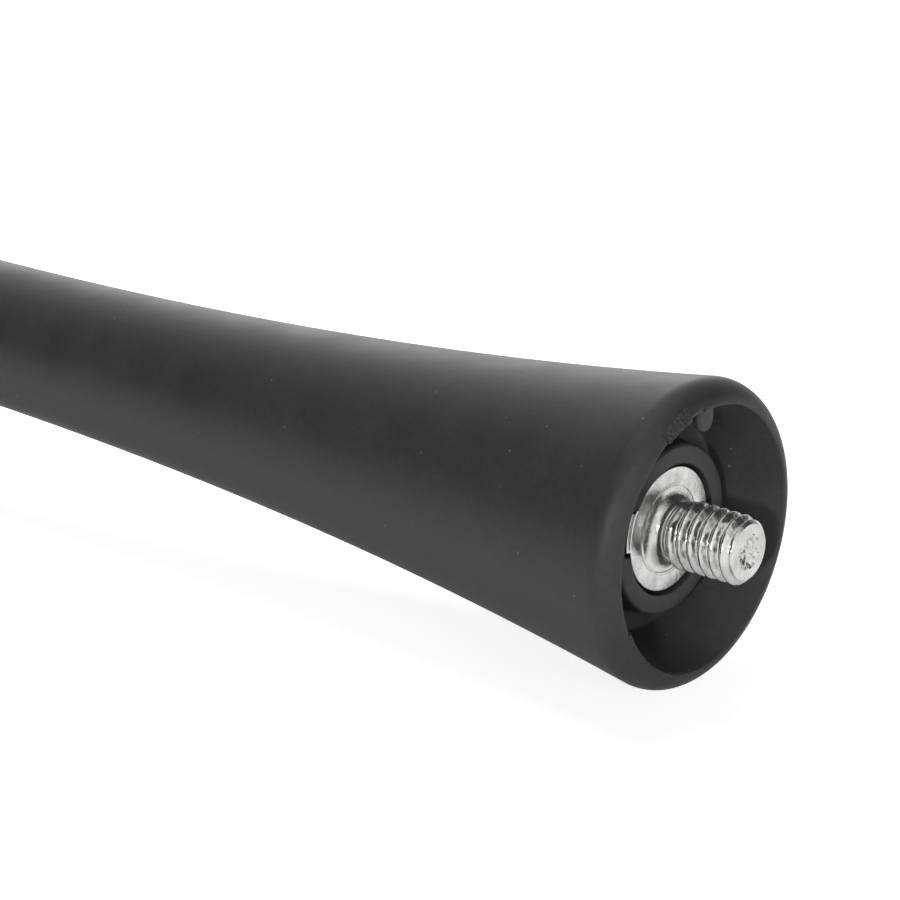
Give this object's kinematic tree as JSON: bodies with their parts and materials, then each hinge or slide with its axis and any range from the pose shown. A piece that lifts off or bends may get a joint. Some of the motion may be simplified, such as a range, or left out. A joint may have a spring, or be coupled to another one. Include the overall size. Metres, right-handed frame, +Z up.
{
  "type": "car mast aerial",
  "caption": "Flexible car roof aerial: a tapered rubber mast with a flared, hollow skirt and a plated threaded stud that screws into the roof base.",
  "frame": {"origin": "on the stud's axis, in the plane of the skirt's lip", "axes": "+X out along the stud, the mast runs to -X and lies level; +Z is up as the picture shows it"},
  "size_m": [0.2187, 0.0228, 0.0228],
  "materials": {
    "sheath_rubber": "matt moulded",
    "plated_steel": "turned, bright zinc plated",
    "rod_glass_fibre": "pultruded",
    "winding_copper": "enamelled wire"
  },
  "bodies": {
    "root": {"mast_sheath": "sheath_rubber", "threaded_ferrule": "plated_steel", "core_rod": "rod_glass_fibre", "aerial_winding": "winding_copper"}
  },
  "joints": []
}
